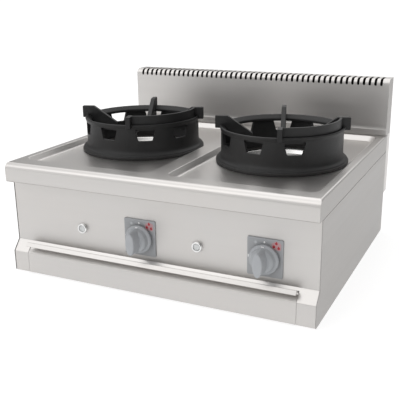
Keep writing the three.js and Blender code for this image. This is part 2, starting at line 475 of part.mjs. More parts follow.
// ---------------------------------------------------------------- wok rings
for (const [n, s] of SIDES) {
  const SEG = 42, TOP = RING_ARM_TOP;
  // flange, flared foot, wall, rolled rim, sloping seat and the short lip under it
  const prof = [[RING_BORE, 0.3], [RING_FLANGE - 1.4, 0.3], [RING_FLANGE, 1.7], [RING_FLANGE, 6.8], [163.9, 8.7], [162, 10.8], [156.6, 14.6], [153.4, 20.4], [RING_WALL, 25],
    [RING_WALL, RING_RIM - 12], [155.3, RING_RIM - 5], [155.3, RING_RIM - 1.8], [153.4, RING_RIM], [150.8, RING_RIM], [140.2, RING_RIM - 8.6],
    [RING_SEAT, RING_RIM - 10], [RING_SEAT, RING_RIM - 15], [RING_BORE, RING_RIM - 17.6]];
  let r = solid(revolve(prof, SEG, true));
  // raised splash band over the quarter between the front and the right arms
  const A0 = -90 + ARM_TURN, A1 = ARM_TURN, bandPts = [];
  const NB = 10, ro = 146.5, ri = 140;
  for (let i = 0; i <= NB; i++) { const a = (A0 + (A1 - A0) * i / NB) * D2R; bandPts.push([ro * Math.cos(a), ro * Math.sin(a)]); }
  for (let i = NB; i >= 0; i--) { const a = (A0 + (A1 - A0) * i / NB) * D2R; bandPts.push([ri * Math.cos(a), ri * Math.sin(a)]); }
  r = r.add(solid(alongZ(bandPts, RING_RIM - 12, RING_BAND)));
  // four support arms, radial plates with a flat top, a squared outer end and a long inward slope
  const armOut = [[168, TOP - 1.5], [166.6, TOP], [136, TOP], [74, 68.5], [72, 62], [78, 59], [RING_BORE + 2, 38],
    [RING_WALL - 2, 62], [RING_WALL - 2, 80], [168, 80]];
  for (let i = 0; i < 4; i++) {
    const g = prism(armOut, -6, 6, (u, v, w) => [u, w, v]);
    r = r.add(solid(g.rotateZ((ARM_TURN + 90 * i) * D2R)));
  }
  // windows through the wall, wider at their tops
  for (const deg of WINDOWS[n]) {
    const w = prism([[-18, 47], [18, 47], [26.2, 77.5], [-26.2, 77.5]], 142.6, 175, (u, v, q) => [q, u, v]);
    r = r.subtract(solid(w.rotateZ(deg * D2R)));
  }
  // the arms' roots keep their metal across the windows
  for (let i = 0; i < 4; i++) {
    const g = prism([[RING_BORE - 4, 36], [RING_WALL - 0.3, 36], [RING_WALL - 0.3, 82], [RING_BORE - 4, 82]], -6, 6, (u, v, w) => [u, w, v]);
    r = r.add(solid(g.rotateZ((ARM_TURN + 90 * i) * D2R)));
  }
  r = r.translate([s * BURNER_X, BURNER_Y, FLOOR_Z + 0.05]);
  put('wok_ring_' + n, r, IRON);
}

export default group;
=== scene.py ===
import bpy
import bmesh
import math
from mathutils import Vector, Matrix


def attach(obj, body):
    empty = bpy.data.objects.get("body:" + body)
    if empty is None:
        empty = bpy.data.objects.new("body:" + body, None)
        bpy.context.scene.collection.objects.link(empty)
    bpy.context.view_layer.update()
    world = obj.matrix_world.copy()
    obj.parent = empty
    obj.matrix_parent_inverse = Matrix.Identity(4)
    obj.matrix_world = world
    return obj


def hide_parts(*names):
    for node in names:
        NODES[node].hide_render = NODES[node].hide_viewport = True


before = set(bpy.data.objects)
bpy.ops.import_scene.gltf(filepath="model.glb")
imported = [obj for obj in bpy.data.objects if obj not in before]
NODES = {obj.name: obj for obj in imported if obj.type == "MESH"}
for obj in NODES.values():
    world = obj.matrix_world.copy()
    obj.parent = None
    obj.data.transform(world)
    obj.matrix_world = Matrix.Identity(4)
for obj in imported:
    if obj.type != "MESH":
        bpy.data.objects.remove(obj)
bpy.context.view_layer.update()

SCENE = bpy.context.scene
COLL = SCENE.collection

# ------------------------------------------------------------------ camera
cam_data = bpy.data.cameras.new("camera")
cam_data.lens = 684.775 * 36.0 / 400.0
cam_data.sensor_width = 36.0
cam_data.clip_start = 0.05
cam_data.clip_end = 60.0
cam = bpy.data.objects.new("camera", cam_data)
cam.location = (0.745115, -1.613362, 0.701985)
cam.rotation_euler = (math.radians(72.513), math.radians(0.7465), math.radians(25.467))
COLL.objects.link(cam)
SCENE.camera = cam

# ------------------------------------------------------------------ sizes, in mm from the apron's front and the casing's lower edge
MID_Y, PAD = 344.3, 3.0
WIDTH, DEPTH, BODY_D, TOP_Z, FLUE_Z = 800.0, 714.0, 677.0, 286.0, 443.0
APRON, SHEET, TOP_T, GAP = 48.0, 1.5, 2.0, 0.3
PANEL_Y, SKIRT_Y, FLARE_T, FLARE_B = 26.6, 4.3, 79.0, 52.7
BX, BY, FLOOR_Z = 200.5, 341.0, 272.0
WX0, WX1, WY0, WY1, WELL_S = 21.5, 380.0, 50.5, 640.0, 12.0
FACE_Y, PLINTH_Y, FLUE_R = 656.5, 653.0, 15.0
KX = {"left": -34.3, "right": 276.0}
KZ = 134.0
IX = {"left": -195.7, "right": 113.7}
IZ = 135.2
TRAY_HALF = 355.0
SIDES = (("left", -1), ("right", 1))


def mm(v):
    """millimetres in the working layout to metres in the shared frame"""
    return (v[0] / 1000.0, (v[1] - MID_Y) / 1000.0, (v[2] + PAD) / 1000.0)


# ------------------------------------------------------------------ mesh helpers (all in mm)
def build(verts, faces):
    bm = bmesh.new()
    vs = [bm.verts.new(v) for v in verts]
    bm.verts.ensure_lookup_table()
    for f in faces:
        try:
            bm.faces.new([vs[i] for i in f])
        except ValueError:
            pass
    bmesh.ops.remove_doubles(bm, verts=bm.verts, dist=1e-4)
    bmesh.ops.recalc_face_normals(bm, faces=bm.faces)
    if bm.calc_volume(signed=True) < 0:
        bmesh.ops.reverse_faces(bm, faces=bm.faces)
    return bm


def prism(pts, w0, w1, put):
    n = len(pts)
    verts = [put(u, v, w0) for u, v in pts] + [put(u, v, w1) for u, v in pts]
    faces = [tuple(range(n)), tuple(range(2 * n - 1, n - 1, -1))]
    faces += [(i, (i + 1) % n, (i + 1) % n + n, i + n) for i in range(n)]
    return build(verts, faces)


def along_x(pts, a, b):
    return prism(pts, a, b, lambda u, v, w: (w, u, v))


def along_y(pts, a, b):
    return prism(pts, a, b, lambda u, v, w: (u, w, v))


def along_z(pts, a, b):
    return prism(pts, a, b, lambda u, v, w: (u, v, w))


def block(x0, x1, y0, y1, z0, z1):
    return along_z([(x0, y0), (x1, y0), (x1, y1), (x0, y1)], z0, z1)


def revolve(profile, segs, closed=False):
    verts, rings, faces = [], [], []
    for r, z in profile:
        if r < 1e-6:
            rings.append([len(verts)])
            verts.append((0, 0, z))
            continue
        ids = []
        for k in range(segs):
            a = 2 * math.pi * k / segs
            ids.append(len(verts))
            verts.append((r * math.cos(a), r * math.sin(a), z))
        rings.append(ids)
    last = len(profile) if closed else len(profile) - 1
    for i in range(last):
        a, b = rings[i], rings[(i + 1) % len(profile)]
        for k in range(segs):
            k2 = (k + 1) % segs
            if len(a) == 1 and len(b) == 1:
                continue
            if len(a) == 1:
                faces.append((a[0], b[k2], b[k]))
            elif len(b) == 1:
                faces.append((a[k], a[k2], b[0]))
            else:
                faces.append((a[k], a[k2], b[k2], b[k]))
    return build(verts, faces)


def loft(rings):
    n = len(rings[0])
    verts = [v for r in rings for v in r]
    faces = []
    for i in range(len(rings) - 1):
        for k in range(n):
            a, b = i * n + k, i * n + (k + 1) % n
            faces.append((a, b, b + n, a + n))
    faces.append(tuple(range(n)))
    faces.append(tuple(range((len(rings) - 1) * n, len(rings) * n)))
    return build(verts, faces)


def arc(cx, cy, r, a0, a1, n):
    return [(cx + r * math.cos(math.radians(a0 + (a1 - a0) * i / n)), cy + r * math.sin(math.radians(a0 + (a1 - a0) * i / n))) for i in range(n + 1)]


def round_rect(x0, x1, y0, y1, r, seg=8):
    out = []
    for cx, cy, a0 in ((x1 - r, y1 - r, 0), (x0 + r, y1 - r, 90), (x0 + r, y0 + r, 180), (x1 - r, y0 + r, 270)):
        out += arc(cx, cy, r, a0, a0 + 90, seg)
    return out


def fillet(pts, radii, seg=5, closed=True):
    """rounds the corners of an outline; radii is one number or one for each point"""
    out, n = [], len(pts)
    for i, p in enumerate(pts):
        r = radii if isinstance(radii, (int, float)) else radii[i]
        if r <= 0 or (not closed and i in (0, n - 1)):
            out.append(tuple(p))
            continue
        a, b = Vector(pts[i - 1]) - Vector(p), Vector(pts[(i + 1) % n]) - Vector(p)
        la, lb = a.length, b.length
        a.normalize()
        b.normalize()
        ang = a.angle(b)
        if ang > math.pi - 0.02:
            out.append(tuple(p))
            continue
        d = min(r / math.tan(ang / 2), la * 0.49, lb * 0.49)
        rr = d * math.tan(ang / 2)
        c = Vector(p) + (a + b).normalized() * (rr / math.sin(ang / 2))
        s, e = Vector(p) + a * d - c, Vector(p) + b * d - c
        a0 = math.atan2(s.y, s.x)
        a1 = math.atan2(e.y, e.x)
        while a1 - a0 > math.pi:
            a1 -= 2 * math.pi
        while a1 - a0 < -math.pi:
            a1 += 2 * math.pi
        for k in range(seg + 1):
            th = a0 + (a1 - a0) * k / seg
            out.append((c.x + rr * math.cos(th), c.y + rr * math.sin(th)))
    return out


def smooth_line(pts, seg=6):
    """Catmull-Rom through an open line of 2-D points"""
    out = []
    for i in range(len(pts) - 1):
        p0, p1, p2, p3 = (Vector(pts[max(i - 1, 0)]), Vector(pts[i]), Vector(pts[i + 1]), Vector(pts[min(i + 2, len(pts) - 1)]))
        for k in range(seg):
            t = k / seg
            q = 0.5 * ((2 * p1) + (p2 - p0) * t + (2 * p0 - 5 * p1 + 4 * p2 - p3) * t * t + (3 * p1 - p0 - 3 * p2 + p3) * t ** 3)
            out.append((q.x, q.y))
    out.append(tuple(pts[-1]))
    return out


def offset_line(pts, d):
    out = []
    for i, p in enumerate(pts):
        q, r = Vector(pts[max(i - 1, 0)]), Vector(pts[min(i + 1, len(pts) - 1)])
        t = (r - q).normalized()
        out.append((p[0] + d * t.y, p[1] - d * t.x))
    return out


def ribbon(path, t):
    """a closed outline of even thickness t along an open line"""
    def side(d):
        out = []
        for i, p in enumerate(path):
            p = Vector(p)
            u = (p - Vector(path[i - 1])).normalized() if i else None
            v = (Vector(path[i + 1]) - p).normalized() if i + 1 < len(path) else None
            nu = Vector((u.y, -u.x)) if u else Vector((v.y, -v.x))
            nv = Vector((v.y, -v.x)) if v else nu
            m = nu + nv
            q = p + m * (2 * d / m.length_squared)
            out.append((q.x, q.y))
        return out
    return side(t / 2) + side(-t / 2)[::-1]


def turned(bm, matrix):
    bmesh.ops.transform(bm, matrix=matrix, verts=bm.verts)
    return bm


def moved(bm, x, y, z):
    return turned(bm, Matrix.Translation((x, y, z)))


def to_y(bm):
    return turned(bm, Matrix.Rotation(-math.pi / 2, 4, "X"))


def to_front(bm):
    return turned(bm, Matrix.Rotation(math.pi / 2, 4, "X"))


def temp(bm, name="temp"):
    me = bpy.data.meshes.new(name)
    bm.to_mesh(me)
    bm.free()
    ob = bpy.data.objects.new(name, me)
    COLL.objects.link(ob)
    return ob


def baked(ob):
    """the object's evaluated mesh as a fresh bmesh; the object is removed"""
    dg = bpy.context.evaluated_depsgraph_get()
    me = bpy.data.meshes.new_from_object(ob.evaluated_get(dg))
    bm = bmesh.new()
    bm.from_mesh(me)
    bpy.data.meshes.remove(me)
    old = ob.data
    bpy.data.objects.remove(ob)
    bpy.data.meshes.remove(old)
    return bm


def boolean(a, b, op="DIFFERENCE", solver="MANIFOLD"):
    oa, ob = temp(a), temp(b)
    m = oa.modifiers.new("b", "BOOLEAN")
    m.operation = op
    m.object = ob
    try:
        m.solver = solver
    except TypeError:
        m.solver = "EXACT"
    bm = baked(oa)
    if not bm.faces:
        print("EMPTY BOOLEAN", op)
    me = ob.data
    bpy.data.objects.remove(ob)
    bpy.data.meshes.remove(me)
    return bm


def together(*bms):
    """separate shapes in one mesh"""
    out = bmesh.new()
    for b in bms:
        me = bpy.data.meshes.new("t")
        b.to_mesh(me)
        b.free()
        out.from_mesh(me)
        bpy.data.meshes.remove(me)
    return out


def bevelled(bm, width, segs=2, angle=35):
    ob = temp(bm)
    m = ob.modifiers.new("bev", "BEVEL")
    m.width = width
    m.segments = segs
    m.limit_method = "ANGLE"
    m.angle_limit = math.radians(angle)
    m.use_clamp_overlap = True
    return baked(ob)


def from_node(name):
    """a welded copy of a CAD solid in mm, with flat areas merged"""
    bm = bmesh.new()
    bm.from_mesh(NODES[name].data)
    bmesh.ops.transform(bm, matrix=NODES[name].matrix_world, verts=bm.verts)
    for v in bm.verts:
        v.co = Vector((v.co.x * 1000, v.co.y * 1000 + MID_Y, v.co.z * 1000 - PAD))
    bmesh.ops.remove_doubles(bm, verts=bm.verts, dist=1e-3)
    bmesh.ops.dissolve_limit(bm, angle_limit=math.radians(0.6), verts=bm.verts, edges=bm.edges)
    return bm


def piece(name, bm, body, material, node=None, smooth=32.0, others=(), pick=None):
    """makes the object; others are further finishes, and pick says from a face's middle and normal which one it has"""
    bm.normal_update()
    for f in bm.faces:
        f.material_index = pick(f.calc_center_median(), f.normal) if pick else 0
    for v in bm.verts:
        v.co = Vector(mm(v.co))
    me = bpy.data.meshes.new(name)
    bm.to_mesh(me)
    bm.free()
    me.materials.append(material)
    for other in others:
        me.materials.append(other)
    for p in me.polygons:
        p.use_smooth = True
    me.set_sharp_from_angle(angle=math.radians(smooth))
    ob = bpy.data.objects.new(name, me)
    COLL.objects.link(ob)
    wn = ob.modifiers.new("even_shading", "WEIGHTED_NORMAL")
    wn.keep_sharp = True
    wn.weight = 60
    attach(ob, body)
    if node:
        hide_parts(*([node] if isinstance(node, str) else node))
    return ob


# ------------------------------------------------------------------ materials
def new_mat(name):
    m = bpy.data.materials.new(name)
    m.use_nodes = True
    nt = m.node_tree
    nt.nodes.clear()
    out = nt.nodes.new("ShaderNodeOutputMaterial")
    bs = nt.nodes.new("ShaderNodeBsdfPrincipled")
    nt.links.new(bs.outputs[0], out.inputs[0])
    return m, nt, bs


def coords(nt, scale):
    tc = nt.nodes.new("ShaderNodeTexCoord")
    mp = nt.nodes.new("ShaderNodeMapping")
    mp.inputs["Scale"].default_value = scale
    nt.links.new(tc.outputs["Object"], mp.inputs["Vector"])
    return mp.outputs["Vector"]


def noise(nt, vec, scale, detail=3.0, rough=0.55):
    n = nt.nodes.new("ShaderNodeTexNoise")
    n.inputs["Scale"].default_value = scale
    n.inputs["Detail"].default_value = detail
    n.inputs["Roughness"].default_value = rough
    nt.links.new(vec, n.inputs["Vector"])
    return n.outputs["Fac"]


def remap(nt, fac, a, b, lo=0.3, hi=0.7):
    r = nt.nodes.new("ShaderNodeMapRange")
    r.inputs["From Min"].default_value = lo
    r.inputs["From Max"].default_value = hi
    r.inputs["To Min"].default_value = a
    r.inputs["To Max"].default_value = b
    nt.links.new(fac, r.inputs["Value"])
    return r.outputs["Result"]


def mix(nt, fac, a, b):
    m = nt.nodes.new("ShaderNodeMix")
    m.data_type = "RGBA"
    nt.links.new(fac, m.inputs["Factor"])
    for sock, val in ((6, a), (7, b)):
        if isinstance(val, tuple):
            m.inputs[sock].default_value = (*val, 1.0)
        else:
            nt.links.new(val, m.inputs[sock])
    return m.outputs[2]


def bump(nt, bs, height, strength, distance):
    b = nt.nodes.new("ShaderNodeBump")
    b.inputs["Strength"].default_value = strength
    b.inputs["Distance"].default_value = distance
    nt.links.new(height, b.inputs["Height"])
    nt.links.new(b.outputs["Normal"], bs.inputs["Normal"])


def lin(r, g, b):
    def f(c):
        c /= 255.0
        return c / 12.92 if c <= 0.04045 else ((c + 0.055) / 1.055) ** 2.4
    return (f(r), f(g), f(b))


def steel(name, base, rough, grain=(3.0, 900.0, 900.0), strength=0.05, spread=0.05, metallic=0.92, streaks=1.0):
    """brushed sheet: fine lines along one direction, faint long streaks and hazy patches"""
    m, nt, bs = new_mat(name)
    lines = noise(nt, coords(nt, grain), 1.0, 4.0, 0.6)
    streak = noise(nt, coords(nt, tuple(g * 0.06 for g in grain)), 1.0, 2.0, 0.5)
    haze = noise(nt, coords(nt, (1, 1, 1)), 7.0, 3.0, 0.5)
    dark = tuple(c * 0.955 for c in base)
    tone = mix(nt, remap(nt, lines, 0.0, 1.0), dark, base)
    warm = (min(base[0] * 1.015, 1), base[1] * 1.0, base[2] * 0.985)
    tint = mix(nt, remap(nt, haze, 0.0, 0.5), tone, warm)
    nt.links.new(tint, bs.inputs["Base Color"])
    bs.inputs["Metallic"].default_value = metallic
    add = nt.nodes.new("ShaderNodeMath")
    add.operation = "ADD"
    nt.links.new(remap(nt, lines, rough - spread, rough + spread), add.inputs[0])
    nt.links.new(remap(nt, streak, -0.02 * streaks, 0.03 * streaks), add.inputs[1])
    nt.links.new(add.outputs[0], bs.inputs["Roughness"])
    bump(nt, bs, lines, strength, 0.0002)
    return m


def iron(name, base, rough, light, bump_mm=0.5, scale=420.0):
    """sand-cast iron with a matt black coat: fine grain, soft blotches, rubbed lighter spots"""
    m, nt, bs = new_mat(name)
    v = coords(nt, (1, 1, 1))
    grain = noise(nt, v, scale, 6.0, 0.65)
    patch = noise(nt, v, 26.0, 4.0, 0.6)
    wear = noise(nt, v, 90.0, 5.0, 0.7)
    c = mix(nt, remap(nt, patch, 0.0, 1.0, 0.35, 0.65), base, tuple(x * 1.25 for x in base))
    c = mix(nt, remap(nt, wear, 0.0, 0.35, 0.58, 0.8), c, light)
    nt.links.new(c, bs.inputs["Base Color"])
    bs.inputs["Metallic"].default_value = 0.0
    bs.inputs["Specular IOR Level"].default_value = 0.45
    nt.links.new(remap(nt, grain, rough - 0.07, rough + 0.09), bs.inputs["Roughness"])
    bump(nt, bs, grain, 0.35, bump_mm / 1000.0)
    return m


def plastic(name, base, rough, scale=900.0, strength=0.12):
    """moulded plastic with a fine spark-eroded grain and faint flow shading"""
    m, nt, bs = new_mat(name)
    v = coords(nt, (1, 1, 1))
    grain = noise(nt, v, scale, 4.0, 0.6)
    flow = noise(nt, v, 18.0, 2.0, 0.5)
    c = mix(nt, remap(nt, flow, 0.0, 1.0), tuple(x * 0.96 for x in base), tuple(min(x * 1.03, 1) for x in base))
    nt.links.new(c, bs.inputs["Base Color"])
    nt.links.new(remap(nt, grain, rough - 0.05, rough + 0.06), bs.inputs["Roughness"])
    bump(nt, bs, grain, strength, 0.0002)
    return m


def metal(name, base, rough, scale=300.0, metallic=1.0, strength=0.08):
    """turned or plated metal with small scratches and uneven polish"""
    m, nt, bs = new_mat(name)
    v = coords(nt, (1, 1, 1))
    g = noise(nt, v, scale, 5.0, 0.6)
    p = noise(nt, v, 40.0, 3.0, 0.6)
    c = mix(nt, remap(nt, p, 0.0, 1.0), tuple(x * 0.9 for x in base), base)
    nt.links.new(c, bs.inputs["Base Color"])
    bs.inputs["Metallic"].default_value = metallic
    nt.links.new(remap(nt, g, rough - 0.05, rough + 0.08), bs.inputs["Roughness"])
    bump(nt, bs, g, strength, 0.0002)
    return m


STEEL_BASE = (0.66, 0.645, 0.632)
M_FRONT = steel("satin_steel_front", STEEL_BASE, 0.50)
# the sides and the rear have upright grain, and their base colour is darkened to 0.73 of the steel's as painted shade
M_SHADED_SIDE = steel("satin_steel_side_painted_shade", tuple(c * 0.73 for c in STEEL_BASE), 0.52, grain=(900.0, 3.0, 900.0))
M_TOP = steel("satin_steel_top", STEEL_BASE, 0.345, strength=0.02, spread=0.02, metallic=1.0, streaks=0.2)
M_WALL = steel("satin_steel_wall", STEEL_BASE, 0.46, grain=(900.0, 3.0, 900.0), strength=0.03)
M_FLUE = steel("satin_steel_flue", STEEL_BASE, 0.42)


def painted_shade_inside(m, lows, highs, dark=(0.035, 0.032, 0.03)):
    """paints shade on the sheet's hidden inner faces: darkens its colour between two corners given in working mm"""
    nt = m.node_tree
    bs = next(n for n in nt.nodes if n.type == "BSDF_PRINCIPLED")
    tc = nt.nodes.new("ShaderNodeTexCoord")
    sep = nt.nodes.new("ShaderNodeSeparateXYZ")
    nt.links.new(tc.outputs["Object"], sep.inputs[0])
    inside = None
    for axis, (lo, hi) in enumerate(zip(mm(lows), mm(highs))):
        for value, op in ((lo, "GREATER_THAN"), (hi, "LESS_THAN")):
            t = nt.nodes.new("ShaderNodeMath")
            t.operation = op
            t.inputs[1].default_value = value
            nt.links.new(sep.outputs[axis], t.inputs[0])
            if inside is None:
                inside = t.outputs[0]
            else:
                k = nt.nodes.new("ShaderNodeMath")
                k.operation = "MULTIPLY"
                nt.links.new(inside, k.inputs[0])
                nt.links.new(t.outputs[0], k.inputs[1])
                inside = k.outputs[0]
    old = bs.inputs["Base Color"].links[0].from_socket
    nt.links.new(mix(nt, inside, old, dark), bs.inputs["Base Color"])
    return m


# painted shade: a near-black dull steel for the flue cover's inner faces and slot walls, standing in for the shade
# inside
M_PAINTED_SHADE = steel("shade_painted_steel", (0.12, 0.114, 0.108), 0.7, metallic=0.2)
# the duct's inside is painted near-black as shade, where little light reaches through the slots
M_DUCT = painted_shade_inside(steel("satin_steel_duct", STEEL_BASE, 0.42, grain=(900.0, 900.0, 3.0)), (-398.6, 600, 115), (398.6, 712.6, 446))
M_INNER = steel("mill_sheet", (0.56, 0.555, 0.55), 0.48, strength=0.03)
M_BRIGHT = steel("bright_steel", (0.78, 0.775, 0.765), 0.22, strength=0.02, metallic=1.0)
M_TRAY = steel("tray_steel", (0.72, 0.71, 0.70), 0.34, strength=0.03)
M_IRON = iron("black_cast_iron", (0.0165, 0.0165, 0.017), 0.5, (0.04, 0.04, 0.04))
M_CAST = iron("grey_cast_iron", (0.055, 0.054, 0.053), 0.6, (0.12, 0.115, 0.11), 0.4, 300.0)
M_BRASS = metal("machined_brass", (0.62, 0.44, 0.17), 0.32)
M_ALU = metal("drawn_aluminium", (0.68, 0.685, 0.69), 0.36)
M_ZINC = metal("zinc_plate", (0.6, 0.61, 0.62), 0.34)
M_CHROME = metal("bright_collar", (0.90, 0.90, 0.895), 0.34, metallic=1.0, strength=0.03)
M_GREY = plastic("grey_moulding", lin(174, 177, 181), 0.42)
M_PLATE = plastic("grey_plate", lin(165, 167, 170), 0.46, 700.0)
M_BUTTON = plastic("pale_cap", lin(214, 216, 216), 0.4)
M_BLACK = plastic("black_moulding", (0.02, 0.02, 0.021), 0.5)
M_WHITE = plastic("white_ceramic", (0.8, 0.8, 0.77), 0.28, 200.0, 0.05)
M_RUBBER = plastic("black_rubber", (0.018, 0.018, 0.018), 0.78, 500.0, 0.25)
M_MARK = plastic("white_print", (0.86, 0.86, 0.86), 0.5, 800.0, 0.04)
M_RED = plastic("red_print", lin(176, 42, 52), 0.5, 800.0, 0.04)
M_PINK = plastic("pale_red_print", lin(190, 152, 156), 0.5, 800.0, 0.04)
M_PALE = plastic("pale_print", lin(196, 199, 202), 0.5, 800.0, 0.04)

# ------------------------------------------------------------------ worktop
def top_block(o):
    r = 18.0 - o
    low = TOP_Z - APRON - (5 if o else 0)
    # a fine hem line runs along the front just over the lower edge
    hem = [] if o else [(0, low + 0.8), (0.9, low + 1.1), (0.9, low + 1.9), (0, low + 2.2)]
    f = [(o, low)] + hem + arc(o + r, TOP_Z - o - r, r, 180, 90, 16)
    back = BODY_D - 1.8 + (5 if o else 0)
    f += [(back, TOP_Z - o), (back, low)]
    sr = max(5.0 - o, 2.0)
    h = WIDTH / 2 - o
    s = [(-h, low)] + arc(-h + sr, TOP_Z - o - sr, sr, 180, 90, 7) + arc(h - sr, TOP_Z - o - sr, sr, 90, 0, 7) + [(h, low)]
    return boolean(along_x(f, -WIDTH / 2 - 1, WIDTH / 2 + 1), along_y(s, -2, BODY_D + 10), "INTERSECT")


def well(sgn, o):
    x0, x1 = (WX0, WX1) if sgn > 0 else (-WX1, -WX0)
    rows = []
    # height below the top and inset at each step: rolled top edge, sloping wall, soft foot
    steps = [(-6.0, -1.6), (0.0, -1.0), (0.12, -0.5), (0.4, 0.0), (0.85, 0.5), (1.4, 1.0)]
    steps += [(11.2, WELL_S - 2.9), (12.4, WELL_S - 1.6), (13.3, WELL_S - 0.1), (13.8, WELL_S + 1.5), (14.0, WELL_S + 3.2)]
    if o:
        steps = steps[1:]
        steps[0] = (-1.0, steps[0][1])
    for z, d in steps:
        r = 25.0 - d * 0.75
        rows.append([(px, py, TOP_Z - z - o) for px, py in round_rect(x0 - o + d, x1 + o - d, WY0 - o + d, WY1 + o - d, r + o, 10)])
    return loft(rows)


top = boolean(top_block(0), top_block(TOP_T))
for _, s in SIDES:
    top = boolean(top, well(s, TOP_T), "UNION")
for _, s in SIDES:
    top = boolean(top, well(s, 0))
    top = boolean(top, moved(revolve([(0, FLOOR_Z - 8), (118, FLOOR_Z - 8), (118, FLOOR_Z + 4), (0, FLOOR_Z + 4)], 96), s * BX, BY, 0))
top = boolean(top, block(-WIDTH / 2 - 5, WIDTH / 2 + 5, -5, BODY_D + 20, 100, TOP_Z), "INTERSECT")


def top_finish(c, n):
    if abs(n.x) > 0.9 and abs(c.x) > WIDTH / 2 - 0.8:
        return 1
    if n.y < -0.9 and c.y < 18.5 or c.z < TOP_Z - APRON + 2.4:
        return 2
    return 3 if FLOOR_Z + 0.25 < c.z < TOP_Z - 0.3 and abs(n.x) > abs(n.y) and abs(c.x) < WX1 + 1 else 0


piece("worktop_sheet", top, "casing", M_TOP, "worktop", 30, (M_SHADED_SIDE, M_FRONT, M_WALL), top_finish)

# ------------------------------------------------------------------ casing sheets
side = fillet([(SKIRT_Y, 0), (BODY_D, 0), (BODY_D, TOP_Z - APRON - 1.3), (PANEL_Y, TOP_Z - APRON - 1.3), (PANEL_Y, FLARE_T), (SKIRT_Y, FLARE_B)],
              [1, 1, 1, 1, 3, 3], 4)
for n, s in SIDES:
    a, b = s * (WIDTH / 2 - SHEET), s * WIDTH / 2
    piece(f"side_sheet_{n}", bevelled(along_x(side, min(a, b), max(a, b)), 0.5, 2), "casing", M_SHADED_SIDE, f"side_panel_{n}")

IN_X = WIDTH / 2 - SHEET - GAP
pan = along_x([(PANEL_Y, FLARE_T + GAP), (PANEL_Y + 16, FLARE_T + GAP), (PANEL_Y + 16, FLARE_T + GAP + SHEET), (PANEL_Y + SHEET, FLARE_T + GAP + SHEET),
               (PANEL_Y + SHEET, TOP_Z - APRON - SHEET - 1), (PANEL_Y + 14, TOP_Z - APRON - SHEET - 1), (PANEL_Y + 14, TOP_Z - APRON - 1), (PANEL_Y, TOP_Z - APRON - 1)], -IN_X, IN_X)
for n, _ in SIDES:
    pan = boolean(pan, moved(to_y(revolve([(0, 0), (8, 0), (8, 20), (0, 20)], 40)), KX[n], PANEL_Y - 5, KZ))
    pan = boolean(pan, moved(to_y(revolve([(0, 0), (10.3, 0), (10.3, 20), (0, 20)], 40)), IX[n], PANEL_Y - 5, IZ))
pan = boolean(pan, block(-WIDTH / 2 - 2, -WIDTH / 2 + 3.3, -10, 60, 60, 250))
piece("front_panel_sheet", bevelled(pan, 0.35, 2, 50), "casing", M_FRONT, "control_panel")

fr = along_x(fillet([(PANEL_Y, FLARE_T), (SKIRT_Y, FLARE_B), (SKIRT_Y, 0.4), (SKIRT_Y + 14, 0.4), (SKIRT_Y + 14, 0.4 + SHEET), (SKIRT_Y + SHEET, 0.4 + SHEET),
                     (SKIRT_Y + SHEET, FLARE_B - 0.6), (PANEL_Y + SHEET, FLARE_T - 0.8), (PANEL_Y + SHEET, FLARE_T)], [0, 3, 1.5, 0, 0, 0, 1.5, 0, 0], 5), -IN_X, IN_X)
fr = boolean(fr, block(-TRAY_HALF - 0.6, TRAY_HALF + 0.6, -5, 22.6, -2, 73))
fr = boolean(fr, block(-WIDTH / 2 - 2, -WIDTH / 2 + 3.3, -10, 60, -5, 90))
piece("front_frame_sheet", bevelled(fr, 0.3, 2, 50), "casing", M_FRONT, "front_frame", 32, (M_TOP,), lambda c, n: int(n.z > 0.25 and n.y < -0.25))

for n, mat_, slot_ in (("base_plate", M_INNER, "inner_steel"), ("rear_panel", M_SHADED_SIDE, "satin_steel"), ("flue_back", M_DUCT, "satin_steel"),
                       ("centre_brace", M_INNER, "inner_steel"), ("burner_rail_front", M_INNER, "inner_steel"), ("burner_rail_rear", M_INNER, "inner_steel"),
                       ("tray_runner_left", M_INNER, "inner_steel"), ("tray_runner_right", M_INNER, "inner_steel")):
    piece(n + "_sheet", bevelled(from_node(n), 0.35, 2, 40), "casing", mat_, n)

# ------------------------------------------------------------------ flue cover with rounded slots
def flue_line(o, tail):
    r = FLUE_R - o
    p = [(PLINTH_Y + 2.8 + o, TOP_Z + GAP - (5 if o else 0)), (PLINTH_Y + 2.8 + o, 289.8 + o), (PLINTH_Y + o, 289.8 + o),
         (PLINTH_Y + o, 303 - o * 0.4), (FACE_Y + o, 313.5 - o * 0.4)]
    p = fillet(p, [0, 0, 0.8, 2.0, 2.5], 4, closed=False)
    return p + arc(FACE_Y + o + r, FLUE_Z - o - r, r, 180, 90, 12) + [(tail, FLUE_Z - o), (tail, TOP_Z + GAP - (5 if o else 0))]


BACK_Y = DEPTH - SHEET
flue = boolean(along_x(flue_line(0, BACK_Y - GAP), -WIDTH / 2, WIDTH / 2), along_x(flue_line(SHEET, BACK_Y + 20), -WIDTH / 2 + SHEET, WIDTH / 2 - SHEET))
face_cuts, top_cuts = [], []
for i in range(48):
    x = (i - 23.5) * 16.09
    face_cuts.append(along_y([(x - 3.5, 460), *arc(x, 428.0, 3.5, 180, 360, 6), (x + 3.5, 460)], FACE_Y - 6, FACE_Y + 14))
    top_cuts.append(along_z([(x - 3.5, FACE_Y + 5), (x + 3.5, FACE_Y + 5), *arc(x, 699.5, 3.5, 0, 180, 6)], FLUE_Z - 13.2, FLUE_Z + 6))
flue = boolean(flue, together(*face_cuts))
flue = boolean(flue, together(*top_cuts))


def flue_depth(y, z):
    """how far a point lies under the cover's outer surface"""
    if y < FACE_Y + FLUE_R and z > FLUE_Z - FLUE_R:
        return FLUE_R - math.hypot(y - FACE_Y - FLUE_R, z - FLUE_Z + FLUE_R)
    if z > 313.5:
        return min(y - FACE_Y, FLUE_Z - z)
    return y - FACE_Y if z > 303 else y - PLINTH_Y - 2.8


